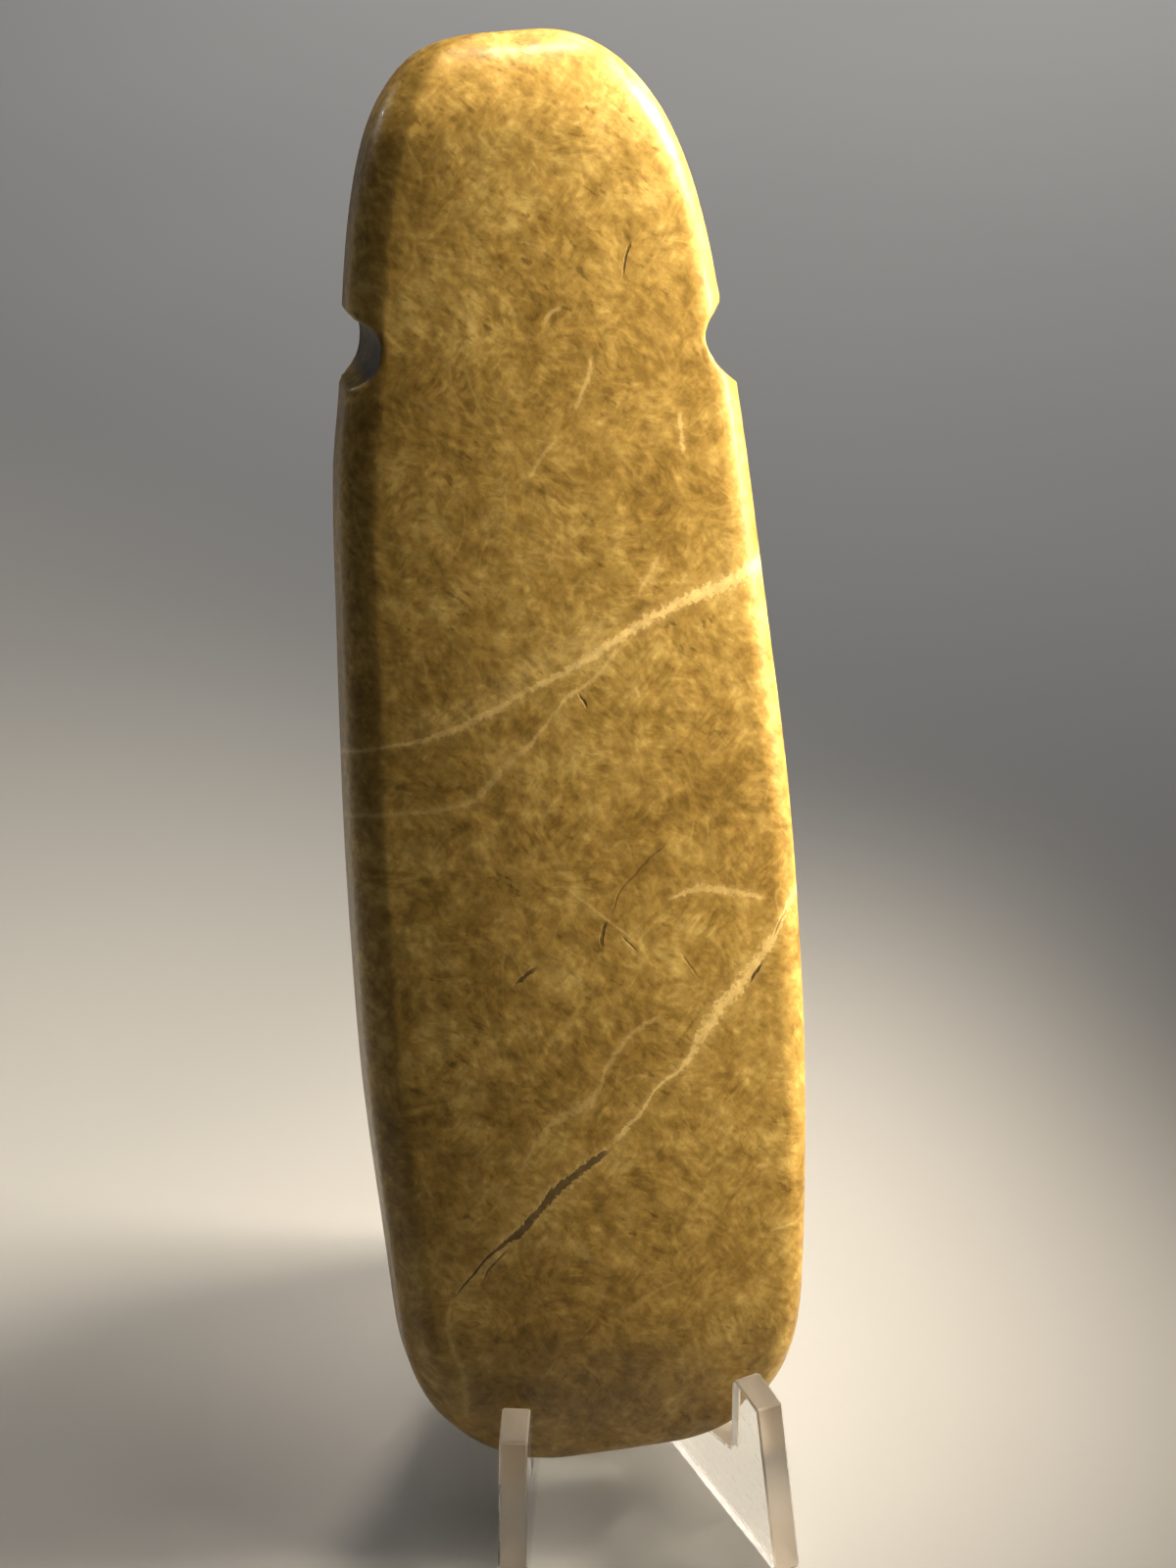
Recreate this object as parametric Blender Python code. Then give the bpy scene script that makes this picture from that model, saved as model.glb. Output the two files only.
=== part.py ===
"""A polished jade axe god standing in a clear easel of two profile plates.

The stone leans back between the two plates. It rests on their seats, against their
back rests, and their hooks keep its foot from sliding forward.
Metres, +Z up. The front looks along -Y and the foot of the stone is low.
"""
import bmesh
import bpy
import math
from mathutils import Matrix, Vector

# Stone: overall sizes
STONE_LENGTH = 0.1524
STONE_WIDTH = 0.0466
STONE_THICKNESS = 0.0142
EDGE_RADIUS = 0.0036
FACE_CROWN = 0.0015
FOOT_ROUNDING = 0.0190
POLL_ROUNDING = 0.0100
POLL_THINNING = 0.0022
LEAN = math.radians(15.0)

# Stone: outline as (height share, left share, right share) of its length and half width
OUTLINE = (
    (0.00, 0.878, 0.868),
    (0.16, 0.939, 0.962),
    (0.29, 0.991, 1.000),
    (0.39, 0.998, 0.996),
    (0.49, 0.989, 0.972),
    (0.62, 0.957, 0.903),
    (0.72, 0.924, 0.848),
    (0.78, 0.869, 0.809),
    (0.835, 0.834, 0.774),
    (1.00, 0.733, 0.777),
)
FOOT_END_SHARE = 0.128
POLL_END_SHARE = 0.748
FOOT_FULLNESS = {-1: 2.40, 1: 3.05}
POLL_FULLNESS = {-1: 3.95, 1: 2.40}

# Stone: one notch ground across each side, by its deepest height and its two flanks
NOTCH_SHARE = {-1: 0.807, 1: 0.796}
NOTCH_ROUNDNESS = {-1: 2.80, 1: 1.90}
NOTCH_SLANT = 0.13
LEFT_NOTCH_DEPTH = 0.0026
LEFT_NOTCH_RISE = 0.0034
LEFT_NOTCH_FALL = 0.0038
RIGHT_NOTCH_DEPTH = 0.0027
RIGHT_NOTCH_RISE = 0.0036
RIGHT_NOTCH_FALL = 0.0051

# Easel: two plates that part towards the front
PLATE_THICKNESS = 0.0030
PLATE_ANGLE = math.radians(15.0)
HOOK_SPREAD = 0.0247
HOOK_TOP = 0.0195
HOOK_DEPTH = 0.0055
HOOK_SLOPE = 0.0005
HOOK_TIP = 0.0006
FOOT_REACH = 0.0050
REST_TOP = 0.0740
REST_WIDTH = 0.0070
REAR_HEIGHT = 0.0300
STONE_LIFT = 0.0079
STONE_SHIFT = -0.0018
EDGE_CHAMFER = 0.0002

# Fits and mesh steps
CLEARANCE = 0.0003
RING_STEP = 0.0060
NOTCH_STEP = 0.0009
END_RINGS = 14
FACE_STEPS = 7
CORNER_STEPS = 4


def clear_scene():
    for item in list(bpy.data.objects):
        bpy.data.objects.remove(item, do_unlink=True)


def make_material(name, colour, roughness, transmission=0.0, alpha=1.0):
    material = bpy.data.materials.new(name)
    material.use_nodes = True
    shader = material.node_tree.nodes["Principled BSDF"]
    shader.inputs["Base Color"].default_value = (*colour, 1.0)
    shader.inputs["Roughness"].default_value = roughness
    shader.inputs["Metallic"].default_value = 0.0
    shader.inputs["Transmission Weight"].default_value = transmission
    shader.inputs["Alpha"].default_value = alpha
    material.diffuse_color = (*colour, alpha)
    return material


def read_curve(rows, column, share):
    """Smooth curve through the rows: a cubic between neighbours with averaged slopes."""
    count = len(rows)
    spot = max(i for i in range(count - 1) if rows[i][0] <= share or i == 0)

    def slope(i):
        low, high = max(i - 1, 0), min(i + 1, count - 1)
        return (rows[high][column] - rows[low][column]) / (rows[high][0] - rows[low][0])

    start, end = rows[spot], rows[spot + 1]
    span = end[0] - start[0]
    t = (share - start[0]) / span
    blend_start = 2 * t ** 3 - 3 * t ** 2 + 1
    blend_end = 3 * t ** 2 - 2 * t ** 3
    lift_start = t ** 3 - 2 * t ** 2 + t
    lift_end = t ** 3 - t ** 2
    value = blend_start * start[column] + blend_end * end[column]
    return value + span * (lift_start * slope(spot) + lift_end * slope(spot + 1))


def rounding(distance, fullness):
    """Falls from 1 to 0 as the distance grows from 0 to 1, as a superellipse does."""
    if distance <= 0.0:
        return 1.0
    return max(0.0, 1.0 - min(distance, 1.0) ** fullness) ** (1.0 / fullness)


def half_width(height, side):
    """Half width of the outline on one side (-1 left, 1 right), before its notch."""
    share = height / STONE_LENGTH
    column = 1 if side < 0 else 2
    width = read_curve(OUTLINE, column, share) * STONE_WIDTH / 2
    foot = (FOOT_END_SHARE - share) / FOOT_END_SHARE
    poll = (share - POLL_END_SHARE) / (1.0 - POLL_END_SHARE)
    return width * rounding(foot, FOOT_FULLNESS[side]) * rounding(poll, POLL_FULLNESS[side])


def half_thickness(height):
    foot = 1.0 - height / FOOT_ROUNDING
    poll = 1.0 - (STONE_LENGTH - height) / POLL_ROUNDING
    upper = max(0.0, height / STONE_LENGTH - 0.5) * 2
    full = STONE_THICKNESS / 2 - POLL_THINNING / 2 * upper ** 2
    return full * rounding(foot, 2.0) * rounding(poll, 2.0)


def notch_sizes(side):
    """Depth of a side's notch, and how far its flanks reach above and below the deepest height."""
    if side < 0:
        return LEFT_NOTCH_DEPTH, LEFT_NOTCH_RISE, LEFT_NOTCH_FALL
    return RIGHT_NOTCH_DEPTH, RIGHT_NOTCH_RISE, RIGHT_NOTCH_FALL


def notch_cut(height, side):
    """Depth of the ground notch at a height: a rounded V with two unequal flanks."""
    depth, rise, fall = notch_sizes(side)
    offset = height - NOTCH_SHARE[side] * STONE_LENGTH
    reach = abs(offset) / (rise if offset > 0 else fall)
    return depth * max(0.0, 1.0 - reach ** NOTCH_ROUNDNESS[side])


def quarter_section(height, side, face):
    """Points from the middle of a face (1 front, -1 back), over the edge, to mid side.

    The notch is cut a little deeper at the front face than at the back.
    """
    width = half_width(height, side)
    depth = half_thickness(height)
    radius = min(EDGE_RADIUS, 0.5 * width, 0.7 * depth)
    crown = min(FACE_CROWN, 0.2 * depth) * width / (STONE_WIDTH / 2)
    turn = math.atan2(2 * crown, width - radius)
    face_end = width - radius + radius * math.sin(turn)
    face_low = depth - crown
    centre = face_low - radius * math.cos(turn)
    points = []
    for step in range(FACE_STEPS):
        across = step / FACE_STEPS
        points.append((face_end * across, depth - crown * across ** 2))
    for step in range(CORNER_STEPS + 1):
        angle = turn + (math.pi / 2 - turn) * step / CORNER_STEPS
        points.append((width - radius + radius * math.sin(angle), centre + radius * math.cos(angle)))
    points.append((width, 0.0))
    cut = notch_cut(height, side)
    slant = face * NOTCH_SLANT / (STONE_THICKNESS / 2)
    return [(min(u, width - cut * (1.0 + slant * n)), n) for u, n in points]


def section(height):
    """The whole closed section, seen from above: front face, right side, back face, left side."""
    front_right = [(u, -n) for u, n in quarter_section(height, 1, 1)]
    back_right = [(u, n) for u, n in quarter_section(height, 1, -1)]
    back_left = [(-u, n) for u, n in quarter_section(height, -1, -1)]
    front_left = [(-u, -n) for u, n in quarter_section(height, -1, 1)]
    return front_right + back_right[-2::-1] + back_left[1:] + front_left[-2:0:-1]


def ring_heights():
    foot_end = FOOT_END_SHARE * STONE_LENGTH
    poll_end = POLL_END_SHARE * STONE_LENGTH
    heights = set()
    for ring in range(1, END_RINGS):
        rise = 1.0 - math.cos(math.pi / 2 * ring / END_RINGS)
        heights.add(foot_end * rise)
        heights.add(STONE_LENGTH - (STONE_LENGTH - poll_end) * rise)
    notch_low = min(NOTCH_SHARE[s] * STONE_LENGTH - notch_sizes(s)[2] for s in (-1, 1))
    notch_high = max(NOTCH_SHARE[s] * STONE_LENGTH + notch_sizes(s)[1] for s in (-1, 1))
    body_steps = math.ceil((notch_low - foot_end) / RING_STEP)
    heights.update(foot_end + (notch_low - foot_end) * i / body_steps for i in range(body_steps))
    notch_steps = math.ceil((notch_high - notch_low) / NOTCH_STEP)
    for step in range(notch_steps + 1):
        heights.add(notch_low + (notch_high - notch_low) * step / notch_steps)
    ordered = sorted(heights)
    apart = [ordered[0]]
    for height in ordered[1:]:
        if height - apart[-1] > NOTCH_STEP / 6:
            apart.append(height)
    return apart


def make_stone():
    mesh = bpy.data.meshes.new("axe_god")
    shape = bmesh.new()
    rings = []
    for height in ring_heights():
        rings.append([shape.verts.new((u, n, height)) for u, n in section(height)])
    count = len(rings[0])
    for low, high in zip(rings, rings[1:]):
        for i in range(count):
            j = (i + 1) % count
            shape.faces.new((low[i], low[j], high[j], high[i]))
    foot = shape.verts.new((0.0, 0.0, 0.0))
    poll = shape.verts.new((0.0, 0.0, STONE_LENGTH))
    for i in range(count):
        j = (i + 1) % count
        shape.faces.new((foot, rings[0][j], rings[0][i]))
        shape.faces.new((poll, rings[-1][i], rings[-1][j]))
    bmesh.ops.recalc_face_normals(shape, faces=shape.faces)
    shape.to_mesh(mesh)
    shape.free()
    mesh.shade_smooth()
    mesh.set_sharp_from_angle(angle=math.radians(50))
    stone = bpy.data.objects.new("axe_god", mesh)
    bpy.context.scene.collection.objects.link(stone)
    stone.rotation_euler = (-LEAN, 0.0, 0.0)
    stone.location = (0.0, 0.0, STONE_LIFT)
    mesh.materials.append(make_material("polished_jade", (0.36, 0.25, 0.10), 0.22))
    return stone


def foot_height(across):
    """How high the rounded foot of the outline lies at a distance from the stone's axis."""
    side = -1 if across < 0 else 1
    low, high = 0.0, FOOT_END_SHARE * STONE_LENGTH
    for _ in range(40):
        middle = (low + high) / 2
        if half_width(middle, side) < abs(across):
            low = middle
        else:
            high = middle
    return high


def plate_fit():
    """Where the hooks, seats and back rests lie so that the stone just clears them."""
    skew = PLATE_THICKNESS / 2 * math.sin(PLATE_ANGLE)
    ease = CLEARANCE + skew
    samples = [STONE_LENGTH * i / 400 for i in range(1, 33)]
    front = min(h * math.sin(LEAN) - half_thickness(h) * math.cos(LEAN) for h in samples)
    hook_front = front - ease
    middle = HOOK_SPREAD / 2 + hook_front * math.sin(PLATE_ANGLE)
    reach = PLATE_THICKNESS / 2
    seats = []
    for side in (-1, 1):
        for edge in (-reach, reach):
            seats.append(foot_height(side * middle + edge - STONE_SHIFT))
    seat = min(seats) - CLEARANCE
    rest = STONE_THICKNESS / 2 + ease
    return hook_front, seat, rest


def stone_to_plate(across, height, hook_front):
    """A point of the stone's middle section, as distance behind the hook and height."""
    y = height * math.sin(LEAN) + across * math.cos(LEAN)
    z = STONE_LIFT + height * math.cos(LEAN) - across * math.sin(LEAN)
    return (y - hook_front) / math.cos(PLATE_ANGLE), z


def plate_profile():
    """Corners of one plate in its own plane: distance behind the hook's inner edge, height."""
    hook_front, seat, rest = plate_fit()
    step_in, seat_low = stone_to_plate(rest, seat, hook_front)
    forward = -(hook_front - seat * math.sin(LEAN)) / math.cos(LEAN)
    seat_front = stone_to_plate(-forward, seat, hook_front)
    rise = (REST_TOP - seat_low) / math.cos(LEAN)
    rest_top = stone_to_plate(rest, seat + rise, hook_front)
    centre = HOOK_SPREAD / 2
    rear = (centre + PLATE_THICKNESS) / math.sin(PLATE_ANGLE)
    return (
        (-HOOK_DEPTH - FOOT_REACH, 0.0),
        (rear, 0.0),
        (rear, REAR_HEIGHT),
        (rest_top[0] + REST_WIDTH, rest_top[1]),
        rest_top,
        (step_in, seat_low),
        (0.0, seat_front[1]),
        (0.0, HOOK_TOP - HOOK_TIP),
        (-HOOK_TIP, HOOK_TOP),
        (-HOOK_DEPTH, HOOK_TOP - HOOK_SLOPE),
    )


def make_plate(name, side, material):
    """One clear plate. Its rear end is cut back to the plane midway between the plates."""
    shape = bmesh.new()
    half = PLATE_THICKNESS / 2
    outline = [shape.verts.new((-half, q, z)) for q, z in plate_profile()]
    face = shape.faces.new(outline)
    pushed = bmesh.ops.extrude_face_region(shape, geom=[face])
    moved = [item for item in pushed["geom"] if isinstance(item, bmesh.types.BMVert)]
    bmesh.ops.translate(shape, verts=moved, vec=(PLATE_THICKNESS, 0.0, 0.0))
    bmesh.ops.recalc_face_normals(shape, faces=shape.faces)
    bmesh.ops.bevel(shape, geom=list(shape.edges), offset=EDGE_CHAMFER, segments=1, affect="EDGES",
                    clamp_overlap=True)
    turn = Matrix.Rotation(side * PLATE_ANGLE, 4, "Z")
    hook_front = plate_fit()[0]
    place = Matrix.Translation((side * HOOK_SPREAD / 2, hook_front, 0.0)) @ turn
    to_plate = place.inverted()
    cut_point = to_plate @ Vector((side * CLEARANCE / 2, 0.0, 0.0))
    cut_normal = turn.inverted() @ Vector((-side, 0.0, 0.0))
    cut = bmesh.ops.bisect_plane(shape, geom=shape.verts[:] + shape.edges[:] + shape.faces[:],
                                 plane_co=cut_point, plane_no=cut_normal, clear_outer=True)
    rim = [item for item in cut["geom_cut"] if isinstance(item, bmesh.types.BMEdge)]
    bmesh.ops.contextual_create(shape, geom=rim)
    bmesh.ops.recalc_face_normals(shape, faces=shape.faces)
    mesh = bpy.data.meshes.new(name)
    shape.to_mesh(mesh)
    shape.free()
    plate = bpy.data.objects.new(name, mesh)
    bpy.context.scene.collection.objects.link(plate)
    plate.rotation_euler = (0.0, 0.0, side * PLATE_ANGLE)
    plate.location = (side * HOOK_SPREAD / 2, hook_front, 0.0)
    mesh.materials.append(material)
    return plate


def centre_on_origin(parts):
    """Moves every part alike, so that the box around them stands centred on the origin."""
    bpy.context.view_layer.update()
    corners = [part.matrix_world @ vertex.co for part in parts for vertex in part.data.vertices]
    middle_x = (min(c.x for c in corners) + max(c.x for c in corners)) / 2
    middle_y = (min(c.y for c in corners) + max(c.y for c in corners)) / 2
    for part in parts:
        part.location.x -= middle_x
        part.location.y -= middle_y


def main():
    clear_scene()
    stone = make_stone()
    stone.location.x += STONE_SHIFT
    clear_plastic = make_material("clear_plastic", (0.95, 0.96, 0.95), 0.05, 1.0, 0.35)
    plates = [
        make_plate("easel_plate_left", -1, clear_plastic),
        make_plate("easel_plate_right", 1, clear_plastic.copy()),
    ]
    centre_on_origin([stone] + plates)


main()
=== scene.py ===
import math

import bpy
import numpy as np
from mathutils import Matrix, Vector


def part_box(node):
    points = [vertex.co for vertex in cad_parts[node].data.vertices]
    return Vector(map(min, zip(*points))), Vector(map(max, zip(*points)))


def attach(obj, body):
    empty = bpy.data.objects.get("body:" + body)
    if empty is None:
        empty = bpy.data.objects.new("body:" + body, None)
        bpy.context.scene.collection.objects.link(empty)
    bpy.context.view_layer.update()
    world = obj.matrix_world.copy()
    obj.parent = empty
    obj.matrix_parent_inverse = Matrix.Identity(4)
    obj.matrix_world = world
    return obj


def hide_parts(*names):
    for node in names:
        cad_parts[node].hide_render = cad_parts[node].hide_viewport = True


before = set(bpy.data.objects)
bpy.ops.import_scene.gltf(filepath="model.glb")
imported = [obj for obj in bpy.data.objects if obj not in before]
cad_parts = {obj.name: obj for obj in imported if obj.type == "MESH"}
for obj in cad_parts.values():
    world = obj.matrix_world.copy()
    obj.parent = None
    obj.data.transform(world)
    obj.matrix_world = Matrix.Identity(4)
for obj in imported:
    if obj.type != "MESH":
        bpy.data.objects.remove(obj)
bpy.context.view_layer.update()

# Stone: the same sizes as its solid, in metres
STONE_LENGTH = 0.1524
STONE_WIDTH = 0.0466
STONE_THICKNESS = 0.0142
EDGE_RADIUS = 0.0036
FACE_CROWN = 0.0015
FOOT_ROUNDING = 0.0190
POLL_ROUNDING = 0.0100
POLL_THINNING = 0.0022
LEAN = math.radians(15.0)
HALF_WIDTH = STONE_WIDTH / 2
HALF_THICKNESS = STONE_THICKNESS / 2

# Most that the edge's radius and the crown may take of the stone where it gets small
RADIUS_SHARE_OF_WIDTH = 0.5
RADIUS_SHARE_OF_DEPTH = 0.7
CROWN_SHARE_OF_DEPTH = 0.2

# Outline of the stone: height share, left share, right share
OUTLINE = np.array((
    (0.00, 0.878, 0.868),
    (0.16, 0.939, 0.962),
    (0.29, 0.991, 1.000),
    (0.39, 0.998, 0.996),
    (0.49, 0.989, 0.972),
    (0.62, 0.957, 0.903),
    (0.72, 0.924, 0.848),
    (0.78, 0.869, 0.809),
    (0.835, 0.834, 0.774),
    (1.00, 0.733, 0.777),
))
FOOT_END_SHARE = 0.128
POLL_END_SHARE = 0.748
FOOT_FULLNESS = {-1: 2.40, 1: 3.05}
POLL_FULLNESS = {-1: 3.95, 1: 2.40}

# Notches in the left (-1) and right (1) side
NOTCH_SHARE = {-1: 0.807, 1: 0.796}
NOTCH_ROUNDNESS = {-1: 2.80, 1: 1.90}
NOTCH_SLANT = 0.13
NOTCH_DEPTH = {-1: 0.0026, 1: 0.0027}
NOTCH_RISE = {-1: 0.0034, 1: 0.0036}
NOTCH_FALL = {-1: 0.0038, 1: 0.0051}

# Where the inside of both notches lies, for its painted shade and duller polish: its middle's height, the
# distances above and below that over which it ends, how far out its mouth and bottom are, and how far their
# middle is to one side
NOTCH_LEVEL = 0.1222
NOTCH_BAND = (0.0042, 0.0056)
NOTCH_MOUTH = 0.0183
NOTCH_BOTTOM = 0.0172
NOTCH_SKEW = 0.00065

# Mesh steps of the detailed stone
RING_STEP = 0.00040
TIP_REACH = 0.0030
TIP_RINGS = 14
FACE_STEPS = 45
CORNER_STEPS = 9
WALL_STEPS = 5

# Veins and cracks. Their points were picked in the photo and turned into millimetres on the front
# face with the camera's fit: across the stone, up it, and half the line's width there. Then come the line's
# strength and how deep into the stone it goes
NEAR = 4.0
THROUGH = 40.0
PALE_LINES = (
    (((-26.0, 84.0, 0.20), (-17.6, 83.8, 0.26), (-13.7, 84.5, 0.34), (-9.1, 85.8, 0.42), (-5.5, 87.5, 0.40),
      (-1.1, 89.5, 0.46), (3.2, 91.3, 0.50), (6.4, 93.2, 0.55), (8.6, 94.2, 0.56), (12.2, 95.8, 0.62),
      (15.8, 96.8, 0.72), (19.9, 98.7, 0.80), (25.0, 100.8, 0.80)), 1.0, THROUGH),
    (((-18.8, 84.8, 0.60), (-13.3, 85.8, 1.00), (-9.5, 87.3, 1.10), (-3.2, 90.8, 1.00), (5.8, 95.2, 0.80)),
     0.22, THROUGH),
    (((-26.0, 77.5, 0.20), (-17.7, 76.5, 0.28), (-11.1, 77.0, 0.35), (-8.9, 79.0, 0.40), (-6.9, 80.8, 0.40),
      (-4.4, 82.8, 0.34), (-0.6, 86.8, 0.26), (1.7, 88.2, 0.24), (3.9, 90.2, 0.26), (5.4, 91.8, 0.26)),
     0.60, THROUGH),
    (((1.1, 38.0, 0.30), (4.1, 41.0, 0.28), (6.5, 43.8, 0.22), (8.8, 45.4, 0.26), (11.1, 48.9, 0.68),
      (13.0, 51.0, 0.80), (15.3, 53.6, 0.70), (17.6, 56.4, 0.56), (19.6, 58.9, 0.42), (21.4, 62.4, 0.30),
      (25.0, 67.2, 0.26)), 0.92, THROUGH),
    (((-16.7, 22.9, 0.60), (-9.3, 29.4, 0.85), (-5.8, 33.0, 0.90), (-2.4, 35.4, 0.85), (1.5, 38.1, 0.60)),
     0.50, THROUGH),
    (((8.2, 64.2, 0.25), (10.4, 64.8, 0.36), (13.3, 64.7, 0.45), (16.2, 63.8, 0.40), (19.0, 63.0, 0.25)),
     0.62, THROUGH),
    (((-9.4, 34.8, 0.36), (-7.3, 38.4, 0.40), (-5.3, 41.1, 0.40), (-0.1, 43.9, 0.36), (1.6, 47.5, 0.30),
      (4.6, 50.5, 0.30), (7.6, 51.6, 0.30)), 0.40, THROUGH),
    (((-17.3, 19.1, 0.34), (-16.9, 16.9, 0.30), (-16.0, 14.3, 0.40), (-16.0, 12.2, 0.45),
      (-16.0, 8.7, 0.30), (-16.7, 22.9, 0.22)), 0.60, THROUGH),
    (((-2.4, 67.0, 0.14), (1.9, 62.9, 0.16), (5.4, 59.5, 0.12)), 0.42, NEAR),
    (((-9.0, 28.1, 0.40), (-6.4, 28.1, 0.50), (-3.4, 27.4, 0.50), (-1.6, 25.4, 0.40), (-1.0, 23.1, 0.40)),
     0.32, NEAR),
    (((1.4, 115.5, 0.20), (2.4, 117.7, 0.22), (3.0, 119.0, 0.22), (3.7, 121.5, 0.16)), 0.50, NEAR),
    (((12.4, 110.2, 0.24), (12.2, 112.8, 0.26), (12.2, 115.3, 0.20)), 0.50, NEAR),
    (((-3.9, 108.8, 0.24), (-2.9, 110.2, 0.26), (-1.3, 112.2, 0.24), (0.0, 113.5, 0.20)), 0.40, NEAR),
    (((6.8, 96.2, 0.22), (7.7, 97.8, 0.28), (8.6, 99.2, 0.26), (9.6, 100.7, 0.30)), 0.45, NEAR),
    (((6.3, 87.2, 0.16), (6.6, 85.7, 0.24)), 0.70, NEAR),
    (((-1.2, 124.2, 0.20), (-0.1, 125.8, 0.24), (1.1, 126.5, 0.26)), 0.40, NEAR),
    (((17.5, 25.9, 0.16), (21.1, 26.6, 0.16)), 0.50, NEAR),
)
DARK_LINES = (
    (((-16.7, 22.9, 0.10), (-14.6, 25.2, 0.14), (-12.8, 27.1, 0.20), (-10.6, 28.6, 0.30),
      (-9.3, 29.4, 0.50), (-5.8, 33.0, 0.50), (-2.4, 35.4, 0.44), (-0.8, 36.5, 0.40), (1.2, 37.6, 0.16)),
     0.80, THROUGH),
    (((-14.0, 24.1, 0.10), (-12.2, 26.1, 0.14), (-10.2, 27.9, 0.16)), 0.60, NEAR),
    (((16.4, 53.9, 0.12), (17.3, 55.0, 0.20), (18.2, 56.2, 0.12)), 0.90, NEAR),
    (((19.2, 58.5, 0.12), (21.4, 62.1, 0.12)), 0.50, NEAR),
    (((1.2, 59.6, 0.14), (1.5, 61.2, 0.20), (1.9, 62.9, 0.18)), 0.70, NEAR),
    (((1.9, 62.9, 0.14), (4.6, 66.8, 0.11), (8.8, 70.5, 0.10)), 0.42, NEAR),
    (((3.4, 60.8, 0.12), (5.0, 59.0, 0.12)), 0.45, NEAR),
    (((-8.3, 56.5, 0.16), (-7.0, 57.5, 0.24), (-5.4, 58.5, 0.20)), 0.80, NEAR),
    (((7.1, 128.6, 0.12), (7.5, 130.6, 0.12), (8.1, 132.4, 0.16)), 0.80, NEAR),
    (((0.3, 87.0, 0.16), (1.3, 85.5, 0.16)), 0.70, NEAR),
    (((9.4, 58.4, 0.12), (11.4, 55.1, 0.12)), 0.35, NEAR),
)

# Most half width a line may have, how its sheet runs across and down per millimetre of depth, the depth
# where it stops running across, and the lengths over which it fades at its ends and into the stone
WIDEST_HALF = 4.0
LINE_SLIP = 0.19
LINE_FALL = 0.32
SLIP_DEPTH = 3.0
END_FADE = 1.2
END_FADE_SHARE = 0.3
DEPTH_FADE = 1.5
LINE_MARGIN = 1.0

# Camera: where it stands from the stone's foot, how it is turned, its focal length and the frame's height
# in pixels, its sensor and the nearest distance it shows
CAMERA_FROM_FOOT = Vector((-0.07252, -0.33190, 0.29711))
CAMERA_PITCH = math.radians(32.0)
CAMERA_YAW = math.radians(12.0)
FOCAL_PIXELS = 4200.0
PHOTO_HEIGHT = 1600.0
SENSOR = 36.0
NEAREST = 0.01


def read_curve(column, shares):
    """Smooth curve through the outline's rows: cubics between neighbours with averaged slopes."""
    rows = OUTLINE
    count = len(rows)
    low = np.maximum(np.arange(count) - 1, 0)
    high = np.minimum(np.arange(count) + 1, count - 1)
    slopes = (rows[high, column] - rows[low, column]) / (rows[high, 0] - rows[low, 0])
    spot = np.clip(np.searchsorted(rows[:, 0], shares, side="right") - 1, 0, count - 2)
    span = rows[spot + 1, 0] - rows[spot, 0]
    t = (shares - rows[spot, 0]) / span
    value = (2 * t ** 3 - 3 * t ** 2 + 1) * rows[spot, column]
    value += (3 * t ** 2 - 2 * t ** 3) * rows[spot + 1, column]
    bend = (t ** 3 - 2 * t ** 2 + t) * slopes[spot] + (t ** 3 - t ** 2) * slopes[spot + 1]
    return value + span * bend


def rounding(distance, fullness):
    """Share of the full size at a distance from 0, where the end begins, to 1, its tip."""
    inside = np.clip(distance, 0.0, 1.0)
    return np.maximum(0.0, 1.0 - inside ** fullness) ** (1.0 / fullness)


def half_width(heights, side):
    """From the centre line to the stone's side, before the notch is ground into it."""
    shares = heights / STONE_LENGTH
    width = read_curve(1 if side < 0 else 2, shares) * HALF_WIDTH
    foot = (FOOT_END_SHARE - shares) / FOOT_END_SHARE
    poll = (shares - POLL_END_SHARE) / (1.0 - POLL_END_SHARE)
    return width * rounding(foot, FOOT_FULLNESS[side]) * rounding(poll, POLL_FULLNESS[side])


def half_thickness(heights):
    foot = 1.0 - heights / FOOT_ROUNDING
    poll = 1.0 - (STONE_LENGTH - heights) / POLL_ROUNDING
    upper = np.maximum(0.0, heights / STONE_LENGTH - 0.5) * 2
    full = HALF_THICKNESS - POLL_THINNING / 2 * upper ** 2
    return full * rounding(foot, 2.0) * rounding(poll, 2.0)


def notch_cut(heights, side):
    """How deep the notch is at each height."""
    offset = heights - NOTCH_SHARE[side] * STONE_LENGTH
    flank = np.where(offset > 0, NOTCH_RISE[side], NOTCH_FALL[side])
    return NOTCH_DEPTH[side] * np.maximum(0.0, 1.0 - (np.abs(offset) / flank) ** NOTCH_ROUNDNESS[side])


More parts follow.
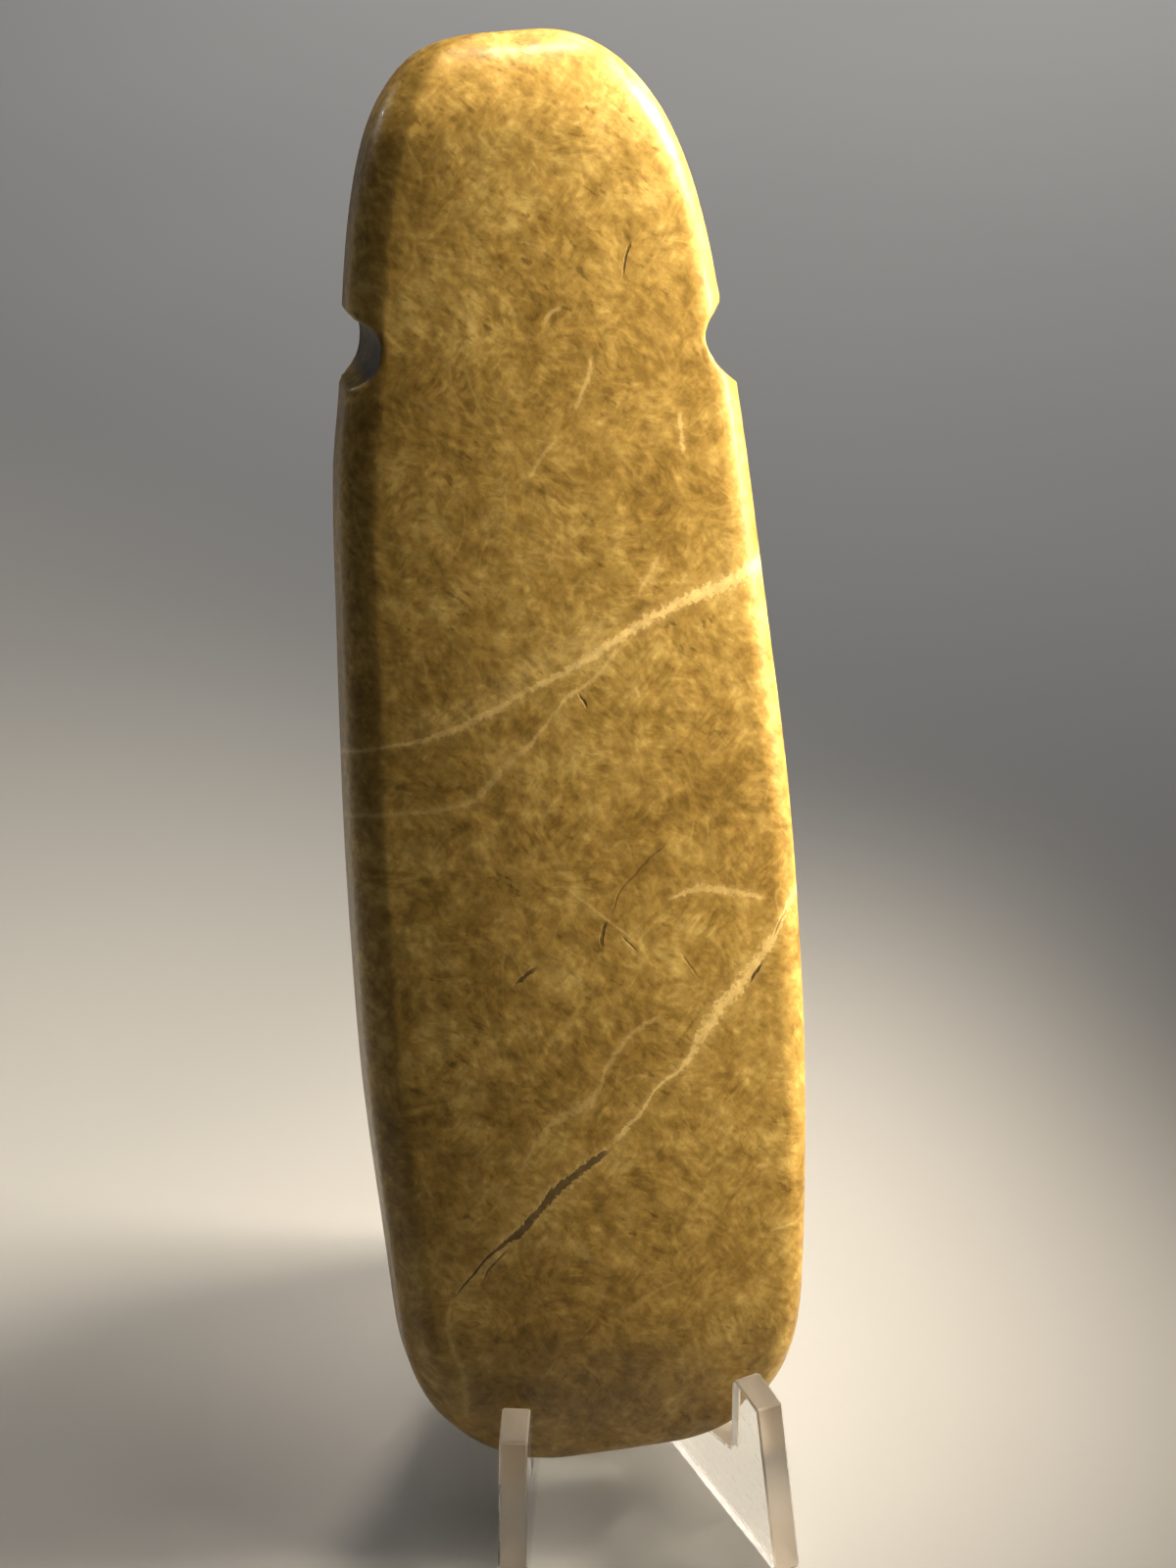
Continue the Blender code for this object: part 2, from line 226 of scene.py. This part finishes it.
def quarter_grid(heights, side, face):
    """For every height, points from the middle of a face (1 front, -1 back) over the edge to mid side."""
    width = half_width(heights, side)[:, None]
    depth = half_thickness(heights)[:, None]
    radius = np.minimum(RADIUS_SHARE_OF_WIDTH * width, RADIUS_SHARE_OF_DEPTH * depth)
    radius = np.minimum(EDGE_RADIUS, radius)
    crown = np.minimum(FACE_CROWN, CROWN_SHARE_OF_DEPTH * depth) * width / HALF_WIDTH
    turn = np.arctan2(2 * crown, width - radius)
    face_end = width - radius + radius * np.sin(turn)
    centre = depth - crown - radius * np.cos(turn)
    across = np.arange(FACE_STEPS)[None, :] / FACE_STEPS
    face_u, face_n = face_end * across, depth - crown * across ** 2
    angle = turn + (math.pi / 2 - turn) * np.arange(CORNER_STEPS + 1)[None, :] / CORNER_STEPS
    corner_u = width - radius + radius * np.sin(angle)
    corner_n = centre + radius * np.cos(angle)
    down = np.arange(1, WALL_STEPS + 1)[None, :] / WALL_STEPS
    wall_u, wall_n = width + 0.0 * down, centre * (1.0 - down)
    u = np.hstack((face_u, corner_u, wall_u))
    n = np.hstack((face_n, corner_n, wall_n))
    slant = face * NOTCH_SLANT / HALF_THICKNESS
    return np.minimum(u, width - notch_cut(heights, side)[:, None] * (1.0 + slant * n)), n


def ring_heights():
    """Heights of the rings, closer together towards both tips."""
    tip = TIP_REACH * (1.0 - np.cos(math.pi / 2 * np.arange(1, TIP_RINGS) / TIP_RINGS))
    count = math.ceil((STONE_LENGTH - 2 * TIP_REACH) / RING_STEP)
    body = np.linspace(TIP_REACH, STONE_LENGTH - TIP_REACH, count + 1)
    return np.concatenate((tip, body, (STONE_LENGTH - tip)[::-1]))


def make_stone():
    """The stone as upright rings of points, with each point's place on it kept as an attribute."""
    heights = ring_heights()
    right_u, right_n = quarter_grid(heights, 1, 1)
    back_right_u, back_right_n = quarter_grid(heights, 1, -1)
    back_left_u, back_left_n = quarter_grid(heights, -1, -1)
    left_u, left_n = quarter_grid(heights, -1, 1)
    ring_u = np.hstack((right_u, back_right_u[:, -2::-1], -back_left_u[:, 1:], -left_u[:, -2:0:-1]))
    ring_n = np.hstack((-right_n, back_right_n[:, -2::-1], back_left_n[:, 1:], -left_n[:, -2:0:-1]))
    rings, count = ring_u.shape
    ring_w = np.repeat(heights[:, None], count, axis=1)
    points = np.stack((ring_u, ring_n, ring_w), axis=2).reshape(-1, 3)
    points = np.vstack((points, (0.0, 0.0, 0.0), (0.0, 0.0, STONE_LENGTH)))
    faces = []
    for ring in range(rings - 1):
        low, high = ring * count, (ring + 1) * count
        for i in range(count):
            j = (i + 1) % count
            faces.append((low + i, low + j, high + j, high + i))
    foot, poll, top = rings * count, rings * count + 1, (rings - 1) * count
    for i in range(count):
        j = (i + 1) % count
        faces.append((foot, j, i))
        faces.append((poll, top + i, top + j))
    mesh = bpy.data.meshes.new("polished_stone")
    mesh.from_pydata(points.tolist(), [], faces)
    mesh.validate()
    mesh.shade_smooth()
    layer = mesh.attributes.new("stone_place", "FLOAT_VECTOR", "POINT")
    layer.data.foreach_set("vector", points.astype(np.float32).ravel())
    stone = bpy.data.objects.new("polished_stone", mesh)
    bpy.context.scene.collection.objects.link(stone)
    return stone


def place_like(piece, node):
    """Leans the stone back, centres its box on that of the node, and returns where its foot went."""
    piece.data.transform(Matrix.Rotation(-LEAN, 4, "X"))
    spots = np.empty(len(piece.data.vertices) * 3)
    piece.data.vertices.foreach_get("co", spots)
    spots = spots.reshape(-1, 3)
    low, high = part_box(node)
    foot = (low + high) / 2 - (Vector(spots.min(axis=0)) + Vector(spots.max(axis=0))) / 2
    piece.data.transform(Matrix.Translation(foot))
    return foot


class Shader:
    """Short calls for building a node material."""

    def __init__(self, name):
        self.material = bpy.data.materials.new(name)
        self.material.use_nodes = True
        self.tree = self.material.node_tree
        self.surface = self.tree.nodes["Principled BSDF"]

    def node(self, kind, links=(), **settings):
        made = self.tree.nodes.new(kind)
        for key, value in settings.items():
            setattr(made, key, value)
        for socket, value in dict(links).items():
            self.put(made.inputs[socket], value)
        return made

    def put(self, socket, value):
        if isinstance(value, bpy.types.NodeSocket):
            self.tree.links.new(value, socket)
        else:
            socket.default_value = value

    def math(self, operation, a, b=0.0):
        made = self.node("ShaderNodeMath", operation=operation)
        self.put(made.inputs[0], a)
        self.put(made.inputs[1], b)
        return made.outputs[0]

    def span(self, value, low, high, start=0.0, end=1.0, smooth=True):
        made = self.node("ShaderNodeMapRange", clamp=True,
                         interpolation_type="SMOOTHSTEP" if smooth else "LINEAR")
        for slot, item in enumerate((value, low, high, start, end)):
            self.put(made.inputs[slot], item)
        return made.outputs[0]

    def mix(self, share, a, b, blend="MIX"):
        made = self.node("ShaderNodeMix", data_type="RGBA", blend_type=blend)
        for slot, item in ((0, share), (6, a), (7, b)):
            self.put(made.inputs[slot], item)
        return made.outputs[2]

    def noise(self, vector, scale, detail=2.0, roughness=0.5, distortion=0.0):
        made = self.node("ShaderNodeTexNoise", {
            "Vector": vector, "Scale": scale, "Detail": detail, "Roughness": roughness,
            "Distortion": distortion})
        return made.outputs["Fac"]

    def turned(self, vector, angles, stretch, shift=(0.0, 0.0, 0.0)):
        spun = self.node("ShaderNodeMapping", {
            "Vector": vector, "Rotation": tuple(math.radians(a) for a in angles), "Location": shift})
        made = self.node("ShaderNodeMapping", {"Vector": spun.outputs[0], "Scale": stretch})
        return made.outputs[0]

    def read(self, name, output):
        return self.node("ShaderNodeAttribute", attribute_name=name).outputs[output]

    def plus(self, a, b, share):
        return self.math("ADD", a, self.math("MULTIPLY", b, share))

    def curve(self, share, points):
        """A smooth curve through points that run from 0 to 1 both ways."""
        made = self.node("ShaderNodeFloatCurve", {"Value": share})
        made.mapping.extend = "HORIZONTAL"
        run = made.mapping.curves[0].points
        run[0].location, run[1].location = points[0], points[-1]
        for point in points[1:-1]:
            run.new(*point)
        made.mapping.update()
        return made.outputs[0]

    def ramp(self, value, stops):
        made = self.node("ShaderNodeValToRGB", {"Fac": value})
        marks = made.color_ramp.elements
        while len(marks) < len(stops):
            marks.new(0.5)
        for mark, (place, tone) in zip(marks, stops):
            mark.position, mark.color = place, tone
        return made.outputs["Color"]

    def line(self, across, up, depth, points, strength, reach_in):
        """How far a spot is from a line, in half widths, and the line's strength there."""
        table = np.array(points, float)
        run, other = (1, 0) if np.ptp(table[:, 1]) > 2 * np.ptp(table[:, 0]) else (0, 1)
        table = table[np.argsort(table[:, run])]
        low, reach = table[0, run], np.ptp(table[:, run])
        base = table[:, other].min() - LINE_MARGIN
        height = np.ptp(table[:, other]) + 2 * LINE_MARGIN
        first, second = (up, across) if run else (across, up)
        share = self.span(first, low, low + reach, smooth=False)
        shares = (table[:, run] - low) / reach
        middle = self.curve(share, list(zip(shares, (table[:, other] - base) / height)))
        middle = self.math("ADD", self.math("MULTIPLY", middle, height), base)
        halves = table[:, 2] * np.hypot(1.0, np.gradient(table[:, other], table[:, run]))
        half = self.curve(share, list(zip(shares, halves / WIDEST_HALF)))
        half = self.math("MULTIPLY", half, WIDEST_HALF)
        gap = self.math("DIVIDE", self.math("ABSOLUTE", self.math("SUBTRACT", second, middle)), half)
        fade = min(END_FADE, END_FADE_SHARE * reach)
        force = self.math("MULTIPLY", self.span(first, low, low + fade, 0.0, strength),
                          self.span(first, low + reach - fade, low + reach, 1.0, 0.0))
        inside = self.span(depth, reach_in - DEPTH_FADE, reach_in, 1.0, 0.0)
        return gap, self.math("MULTIPLY", force, inside)


def colour(red, green, blue):
    """A linear colour from the three shares of a screen colour."""
    linear = (((c + 0.055) / 1.055) ** 2.4 if c > 0.04 else c / 12.92 for c in (red, green, blue))
    return tuple(linear) + (1.0,)


def strongest(shader, shares):
    best = shares[0]
    for share in shares[1:]:
        best = shader.math("MAXIMUM", best, share)
    return best


# Jade: its shades from dark to pale as shares of the tone, and the colours laid over them
JADE_SHADES = (
    (0.375, colour(0.47, 0.36, 0.15)),
    (0.465, colour(0.62, 0.49, 0.225)),
    (0.535, colour(0.74, 0.60, 0.30)),
    (0.635, colour(0.90, 0.77, 0.44)),
)
FLECK_COLOUR = colour(0.33, 0.24, 0.10)
FILAMENT_COLOUR = colour(0.90, 0.77, 0.47)
HALO_COLOUR = colour(0.88, 0.74, 0.44)
VEIN_COLOUR = colour(1.0, 0.865, 0.56)
CRACK_COLOUR = colour(0.28, 0.20, 0.075)
# Painted shade mixed with the stone's darker tone towards the foot
FOOT_TONE_AND_SHADE = colour(0.74, 0.73, 0.72)
# Painted shade inside the notches
NOTCH_SHADE_COLOUR = colour(0.15, 0.11, 0.045)

# Felt of short soft strokes: each set's slant, swing and shift, the scales of strokes and patches, and the
# weight that a patch gives its set
FELT_SETS = ((48, 10, 0.0), (20, -25, 1.3), (-42, 20, 2.9), (80, 35, 4.1))
FELT_STRETCH = (1.0, 0.6, 0.36)
FELT_SCALE = 1450.0
FELT_PATCHES = 170.0
FELT_WEIGHTS = (0.40, 0.60, 0.08, 1.0)

# Scales of the mottling, and what felt, mottling and clouds add to the tone
BLOTCH_SCALE = 270.0
CLOUD_SCALE = 60.0
FELT_SHARE = 0.49
BLOTCH_SHARE = 0.31
CLOUD_SHARE = 0.22

# Darker towards the foot, partly the stone's own darker tone and partly painted shade where less light
# falls: how far up the stone, and by what share
FOOT_SHADE_TOP = STONE_LENGTH * 0.9
FOOT_SHADE = 0.55

# Dark flecks: their turn, stretch and shift, their scale, where in the noise they lie, the same for their
# clusters, and their share
FLECK_TURN = (10, 50, 0)
FLECK_STRETCH = (1.0, 0.6, 0.42)
FLECK_SHIFT = (5.0, 0.0, 2.0)
FLECK_SCALE = 1300.0
FLECK_SPAN = (0.60, 0.70)
CLUSTER_SCALE = 120.0
CLUSTER_SPAN = (0.42, 0.64)
FLECK_SHARE = 0.50

# Faint filaments: scale, shift and share of each set, their turn, stretch and half width, and of the noise
# that breaks them off what its scale adds to the set's, and where in it they show
FILAMENT_SETS = ((75.0, 0.0, 0.30), (130.0, 2.3, 0.22))
FILAMENT_TURN = (0, 25, 0)
FILAMENT_STRETCH = (1.0, 1.0, 0.7)
FILAMENT_HALF = 0.010
BREAK_SCALE = 90.0
BREAK_SPAN = (0.50, 0.66)

# How veins and cracks wander, as a scale and millimetres across and up, and how their edges fray, as a
# scale and half widths
DRIFT_SCALE = 330.0
DRIFT_ACROSS = 0.5
DRIFT_UP = 0.8
FRAY_SCALE = 1900.0
FRAY = 3.6
CRACK_FRAY_SHARE = 0.5

# Where a vein's core, its halo and a crack fade out, in half widths, with their shares
CORE_EDGE = (0.35, 1.25, 1.0, 0.0)
HALO_EDGE = (0.5, 3.4, 0.32, 0.0)
CRACK_EDGE = (0.6, 1.2, 1.0, 0.0)

# Veins come and go in beads, with the felt and towards the left side
BEAD_SCALE = 520.0
BEADS = (0.36, 0.58, 0.70, 1.0)
FELT_BEADS = (0.38, 0.56, 0.70, 1.0)
LEFT_FADE = (-22.0, 6.0, 0.55, 1.0)

# Inside of the notches: how far it faces front, and how much painted shade it gets by the blotches
NOTCH_FACING = (0.35, 0.70)
NOTCH_SHADE_SHARES = (0.35, 0.65, 0.92, 0.70)

# Polish of the jade: roughness by the blotches, more in cracks and notches, an uneven surface, and gloss
JADE_ROUGHNESS = (0.3, 0.7, 0.36, 0.46)
CRACK_ROUGHNESS = 0.25
NOTCH_ROUGHNESS = 0.2
SWELL_SCALE = 420.0
GRAIN_SCALE = 1500.0
GRAIN_SHARE = 0.2
CRACK_SINK = 0.6
JADE_BUMP = 0.00009
JADE_IOR = 1.6
JADE_SPECULAR = 0.26
JADE_COAT = 0.12
JADE_COAT_ROUGHNESS = 0.06

MILLIMETRES = 1000.0


def add_felt(shader, spot):
    """Stretched noise at several slants, each strongest in patches of its own."""
    total = weights = 0.0
    for slant, swing, shift in FELT_SETS:
        strokes = shader.turned(spot, (swing, slant, 0), FELT_STRETCH, (shift, shift, 0.0))
        stroke = shader.noise(strokes, FELT_SCALE, 3.0, 0.6, 0.3)
        patches = shader.turned(spot, (0, 0, 0), (1.0, 1.0, 1.0), (0.0, shift, shift))
        patch = shader.noise(patches, FELT_PATCHES, 1.0)
        weight = shader.span(patch, *FELT_WEIGHTS)
        total = shader.plus(total, stroke, weight)
        weights = shader.math("ADD", weights, weight)
    return shader.math("DIVIDE", total, weights)


def add_flecks(shader, spot, base):
    """Dark flecks and short dark strokes in loose clusters."""
    strokes = shader.turned(spot, FLECK_TURN, FLECK_STRETCH, FLECK_SHIFT)
    fleck = shader.span(shader.noise(strokes, FLECK_SCALE, 2.0, 0.6, 0.0), *FLECK_SPAN)
    cluster = shader.span(shader.noise(spot, CLUSTER_SCALE, 2.0), *CLUSTER_SPAN)
    share = shader.math("MULTIPLY", shader.math("MULTIPLY", fleck, cluster), FLECK_SHARE)
    return shader.mix(share, base, FLECK_COLOUR)


def add_filaments(shader, spot, base):
    """Faint pale threads where a smooth field passes its middle value."""
    for scale, shift, share in FILAMENT_SETS:
        bent = shader.turned(spot, FILAMENT_TURN, FILAMENT_STRETCH, (shift, 0.0, 0.0))
        field = shader.noise(bent, scale, 1.5, 0.5, 0.9)
        off = shader.math("ABSOLUTE", shader.math("SUBTRACT", field, 0.5))
        ridge = shader.span(off, 0.0, FILAMENT_HALF, 1.0, 0.0)
        faint = shader.span(shader.noise(spot, BREAK_SCALE + scale, 1.0), *BREAK_SPAN)
        ridge = shader.math("MULTIPLY", shader.math("MULTIPLY", ridge, faint), share)
        base = shader.mix(ridge, base, FILAMENT_COLOUR)
    return base


def add_lines(shader, spot, place, felt, base):
    """Veins and cracks with edges that wander a little; returns the colour and the cracks' share."""
    drift = shader.math("SUBTRACT", shader.noise(spot, DRIFT_SCALE, 2.0), 0.5)
    depth = shader.math("ADD", place.outputs["Y"], HALF_THICKNESS)
    depth = shader.math("MULTIPLY", depth, MILLIMETRES)
    slip = shader.math("MULTIPLY", shader.math("MINIMUM", depth, SLIP_DEPTH), -LINE_SLIP)
    across = shader.math("MULTIPLY", place.outputs["X"], MILLIMETRES)
    across = shader.math("ADD", across, shader.plus(slip, drift, DRIFT_ACROSS))
    up = shader.math("MULTIPLY", place.outputs["Z"], MILLIMETRES)
    up = shader.math("ADD", up, shader.math("SUBTRACT", shader.math("MULTIPLY", depth, LINE_FALL),
                                            shader.math("MULTIPLY", drift, DRIFT_UP)))
    ragged = shader.math("SUBTRACT", shader.noise(spot, FRAY_SCALE, 3.0, 0.65), 0.5)
    ragged = shader.math("MULTIPLY", ragged, FRAY)
    cores, halos, cracks = [], [], []
    for points, strength, reach_in in PALE_LINES:
        gap, force = shader.line(across, up, depth, points, strength, reach_in)
        gap = shader.math("ADD", gap, ragged)
        cores.append(shader.math("MULTIPLY", shader.span(gap, *CORE_EDGE), force))
        halos.append(shader.math("MULTIPLY", shader.span(gap, *HALO_EDGE), force))
    for points, strength, reach_in in DARK_LINES:
        gap, force = shader.line(across, up, depth, points, strength, reach_in)
        gap = shader.plus(gap, ragged, CRACK_FRAY_SHARE)
        cracks.append(shader.math("MULTIPLY", shader.span(gap, *CRACK_EDGE), force))
    bead = shader.span(shader.noise(spot, BEAD_SCALE, 3.0), *BEADS)
    bead = shader.math("MULTIPLY", bead, shader.span(felt, *FELT_BEADS))
    bead = shader.math("MULTIPLY", bead, shader.span(across, *LEFT_FADE))
    base = shader.mix(strongest(shader, halos), base, HALO_COLOUR)
    base = shader.mix(shader.math("MULTIPLY", strongest(shader, cores), bead), base, VEIN_COLOUR)
    crack = strongest(shader, cracks)
    return shader.mix(crack, base, CRACK_COLOUR), crack


def notch_inside(shader, place):
    """Where the inside of the two notches lies, for painted shade and a duller polish, told by where a spot
    is and which way it faces.
    """
    facing = shader.node("ShaderNodeTexCoord").outputs["Normal"]
    front = shader.node("ShaderNodeSeparateXYZ", {"Vector": facing}).outputs["Y"]
    inward = shader.math("ABSOLUTE", shader.math("ADD", place.outputs["X"], NOTCH_SKEW))
    level = shader.math("ABSOLUTE", shader.math("SUBTRACT", place.outputs["Z"], NOTCH_LEVEL))
    notch_shade_and_dullness = shader.math("MULTIPLY", shader.span(shader.math("ABSOLUTE", front), *NOTCH_FACING, 1.0, 0.0),
                         shader.span(inward, NOTCH_BOTTOM, NOTCH_MOUTH, 1.0, 0.0))
    return shader.math("MULTIPLY", notch_shade_and_dullness, shader.span(level, *NOTCH_BAND, 1.0, 0.0))


def jade_material():
    shader = Shader("polished_jade_looks")
    spot = shader.read("stone_place", "Vector")
    place = shader.node("ShaderNodeSeparateXYZ", {"Vector": spot})

    felt = add_felt(shader, spot)
    blotch = shader.noise(spot, BLOTCH_SCALE, 4.0, 0.62, 0.3)
    cloud = shader.noise(spot, CLOUD_SCALE, 3.0, 0.5, 0.5)
    tone = shader.plus(shader.math("MULTIPLY", felt, FELT_SHARE), blotch, BLOTCH_SHARE)
    base = shader.ramp(shader.plus(tone, cloud, CLOUD_SHARE), JADE_SHADES)
    base = add_flecks(shader, spot, base)
    base = add_filaments(shader, spot, base)
    base, crack = add_lines(shader, spot, place, felt, base)

    # Darker towards the foot, partly the stone's own tone and partly painted shade, and painted shade
    # inside the notches
    low = shader.span(place.outputs["Z"], 0.0, FOOT_SHADE_TOP, 1.0, 0.0, smooth=False)
    base = shader.mix(shader.math("MULTIPLY", low, FOOT_SHADE), base, FOOT_TONE_AND_SHADE, "MULTIPLY")
    notch_shade_and_dullness = notch_inside(shader, place)
    notch_shade = shader.math("MULTIPLY", notch_shade_and_dullness, shader.span(blotch, *NOTCH_SHADE_SHARES))
    base = shader.mix(notch_shade, base, NOTCH_SHADE_COLOUR)

    # A polish that varies a little, duller in the cracks and notches, over a faintly uneven surface
    rough = shader.plus(shader.span(blotch, *JADE_ROUGHNESS), crack, CRACK_ROUGHNESS)
    rough = shader.plus(rough, notch_shade_and_dullness, NOTCH_ROUGHNESS)
    swell, grain = shader.noise(spot, SWELL_SCALE, 1.0, 0.4), shader.noise(spot, GRAIN_SCALE, 2.0)
    height = shader.plus(swell, grain, GRAIN_SHARE)
    height = shader.math("SUBTRACT", height, shader.math("MULTIPLY", crack, CRACK_SINK))
    bump = shader.node("ShaderNodeBump", {"Strength": 1.0, "Distance": JADE_BUMP, "Height": height})
    surface = shader.surface
    shader.put(surface.inputs["Base Color"], base)
    shader.put(surface.inputs["Roughness"], rough)
    shader.put(surface.inputs["Normal"], bump.outputs[0])
    shader.put(surface.inputs["Coat Normal"], bump.outputs[0])
    surface.inputs["IOR"].default_value = JADE_IOR
    surface.inputs["Specular IOR Level"].default_value = JADE_SPECULAR
    surface.inputs["Coat Weight"].default_value = JADE_COAT
    surface.inputs["Coat Roughness"].default_value = JADE_COAT_ROUGHNESS
    return shader.material


# Clear plastic: tints of its faces and of its sawn edges, where the edges' warm tint is a painted glow of
# warm light, and where a surface counts as an edge by how far it faces to the side
FACE_TINT = colour(0.985, 0.99, 0.985)
EDGE_PAINTED_GLOW = colour(1.0, 0.94, 0.86)
EDGE_FACING = (0.55, 0.9, 1.0, 0.0)
PLASTIC_IOR = 1.49

# Its wear: the stretch, scale and span of scratches, the scale of smears with their roughness, the scale of
# saw marks, the roughness of edges and scratches, and the shares and size of the bump
SCRATCH_TURN = (20, 40, 15)
SCRATCH_STRETCH = (1.0, 0.05, 0.4)
SCRATCH_SCALE = 2600.0
SCRATCH_SPAN = (0.62, 0.70)
SMEAR_SCALE = 120.0
SMEAR_ROUGHNESS = (0.4, 0.7, 0.015, 0.06)
SAW_TURN = (0, 0, 14)
SAW_STRETCH = (0.15, 1.0, 1.0)
SAW_SCALE = 1600.0
EDGE_ROUGHNESS = 0.46
SCRATCH_ROUGHNESS = 0.12
SCRATCH_RELIEF = 0.5
SAW_RELIEF = 0.8
PLASTIC_BUMP = 0.0001
PLASTIC_BUMP_STRENGTH = 0.12


def acrylic_material(name, shift):
    """Clear plastic with fine scratches and smears on its faces, and duller sawn edges tinted with a
    painted warm glow.
    """
    shader = Shader(name)
    spot = shader.node("ShaderNodeTexCoord").outputs["Object"]
    facing = shader.node("ShaderNodeTexCoord").outputs["Normal"]
    streaks = shader.turned(spot, SCRATCH_TURN, SCRATCH_STRETCH, (shift, 0.0, 0.0))
    scratch = shader.span(shader.noise(streaks, SCRATCH_SCALE, 2.0), *SCRATCH_SPAN)
    smears = shader.turned(spot, (0, 0, 0), (1.0, 1.0, 1.0), (0.0, shift, 0.0))
    smear = shader.noise(smears, SMEAR_SCALE, 2.0, 0.5, 0.5)
    saw = shader.noise(shader.turned(spot, SAW_TURN, SAW_STRETCH), SAW_SCALE, 2.0)
    side = shader.node("ShaderNodeSeparateXYZ", {"Vector": facing}).outputs["X"]
    edge = shader.span(shader.math("ABSOLUTE", side), *EDGE_FACING)
    rough = shader.plus(shader.span(smear, *SMEAR_ROUGHNESS), edge, EDGE_ROUGHNESS)
    rough = shader.plus(rough, scratch, SCRATCH_ROUGHNESS)
    height = shader.math("MULTIPLY", scratch, SCRATCH_RELIEF)
    height = shader.plus(height, shader.math("MULTIPLY", saw, edge), SAW_RELIEF)
    surface = shader.surface
    # The sawn edges' warm tint is a painted glow of warm light
    shader.put(surface.inputs["Base Color"], shader.mix(edge, FACE_TINT, EDGE_PAINTED_GLOW))
    shader.put(surface.inputs["Roughness"], rough)
    bump = shader.node("ShaderNodeBump", {
        "Strength": PLASTIC_BUMP_STRENGTH, "Distance": PLASTIC_BUMP, "Height": height})
    shader.put(surface.inputs["Normal"], bump.outputs[0])
    surface.inputs["Transmission Weight"].default_value = 1.0
    surface.inputs["IOR"].default_value = PLASTIC_IOR
    return shader.material


# Floor: a plain square, a hair below the plates, in a pale grey that varies a little
FLOOR_REACH = 3.0
FLOOR_DROP = 0.00002
FLOOR_DARK = colour(0.63, 0.63, 0.63)
FLOOR_PALE = colour(0.65, 0.65, 0.65)
FLOOR_CLOUDS = 6.0
FLOOR_ROUGHNESS = 0.75


def floor_material():
    shader = Shader("plain_floor")
    spot = shader.node("ShaderNodeTexCoord").outputs["Object"]
    cloud = shader.noise(spot, FLOOR_CLOUDS, 2.0)
    tone = shader.mix(shader.span(cloud, 0.3, 0.7), FLOOR_DARK, FLOOR_PALE)
    shader.put(shader.surface.inputs["Base Color"], tone)
    shader.surface.inputs["Roughness"].default_value = FLOOR_ROUGHNESS
    return shader.material


def make_floor():
    mesh = bpy.data.meshes.new("floor")
    corners = [(x * FLOOR_REACH, y * FLOOR_REACH, 0.0) for x, y in ((-1, -1), (1, -1), (1, 1), (-1, 1))]
    mesh.from_pydata(corners, [], [(0, 1, 2, 3)])
    floor = bpy.data.objects.new("floor", mesh)
    floor.location.z = -FLOOR_DROP
    bpy.context.scene.collection.objects.link(floor)
    mesh.materials.append(floor_material())


# Lamps: name, place, what it aims at, size, spread in degrees, power and tint
WARM = (1.0, 0.88, 0.70)
AMBER = (1.0, 0.86, 0.68)
SOFT = (1.0, 0.96, 0.90)
PALE = (1.0, 0.97, 0.93)
COOL = (0.95, 0.98, 1.0)
LAMPS = (
    ("key", (0.20, 0.012, 0.22), (0.0, 0.02, 0.16), 0.09, 84, 0.70, WARM),
    ("low", (0.20, -0.025, 0.11), (0.0, 0.0, 0.045), 0.05, 60, 0.09, WARM),
    ("top", (0.05, 0.045, 0.34), (0.0, 0.035, 0.15), 0.06, 50, 0.04, WARM),
    ("fill", (0.15, -0.60, 0.75), (0.0, 0.0, 0.07), 0.50, 180, 0.14, SOFT),
    ("floor", (0.35, 0.80, 0.60), (0.12, 0.42, 0.0), 0.45, 60, 0.8, PALE),
    ("feet", (0.14, 0.24, 0.12), (0.0, -0.02, 0.0), 0.04, 30, 0.028, AMBER),
    ("glint", (-0.41, 0.44, 0.24), (0.0, 0.03, 0.14), 0.04, 60, 0.03, COOL),
)
STUDIO_TINT = (0.90, 0.92, 0.95, 1.0)
STUDIO_STRENGTH = 0.03


def make_lamp(name, place, aim, size, spread, power, tint):
    data = bpy.data.lights.new(name, "AREA")
    data.shape = "DISK"
    data.size = size
    data.spread = math.radians(spread)
    data.energy = power
    data.color = tint
    lamp = bpy.data.objects.new(name, data)
    lamp.location = place
    lamp.rotation_mode = "QUATERNION"
    lamp.rotation_quaternion = (Vector(aim) - Vector(place)).to_track_quat("-Z", "Y")
    bpy.context.scene.collection.objects.link(lamp)


def make_lights():
    for lamp in LAMPS:
        make_lamp(*lamp)
    world = bpy.data.worlds.new("studio")
    bpy.context.scene.world = world
    world.use_nodes = True
    back = world.node_tree.nodes["Background"]
    back.inputs["Color"].default_value = STUDIO_TINT
    back.inputs["Strength"].default_value = STUDIO_STRENGTH


def make_camera(foot):
    data = bpy.data.cameras.new("camera")
    data.sensor_width = SENSOR
    data.lens = SENSOR * FOCAL_PIXELS / PHOTO_HEIGHT
    data.clip_start = NEAREST
    camera = bpy.data.objects.new("camera", data)
    camera.location = foot + CAMERA_FROM_FOOT
    camera.rotation_euler = (math.pi / 2 - CAMERA_PITCH, 0.0, -CAMERA_YAW)
    bpy.context.scene.collection.objects.link(camera)
    bpy.context.scene.camera = camera


bpy.context.scene.view_settings.view_transform = "Standard"

stone = make_stone()
make_camera(place_like(stone, "axe_god"))
stone.data.materials.append(jade_material())
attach(stone, "root")
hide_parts("axe_god")
for node, shift in (("easel_plate_left", 0.0), ("easel_plate_right", 1.7)):
    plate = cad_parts[node]
    plate.material_slots[0].material = acrylic_material("clear_acrylic_" + node, shift)
make_floor()
make_lights()
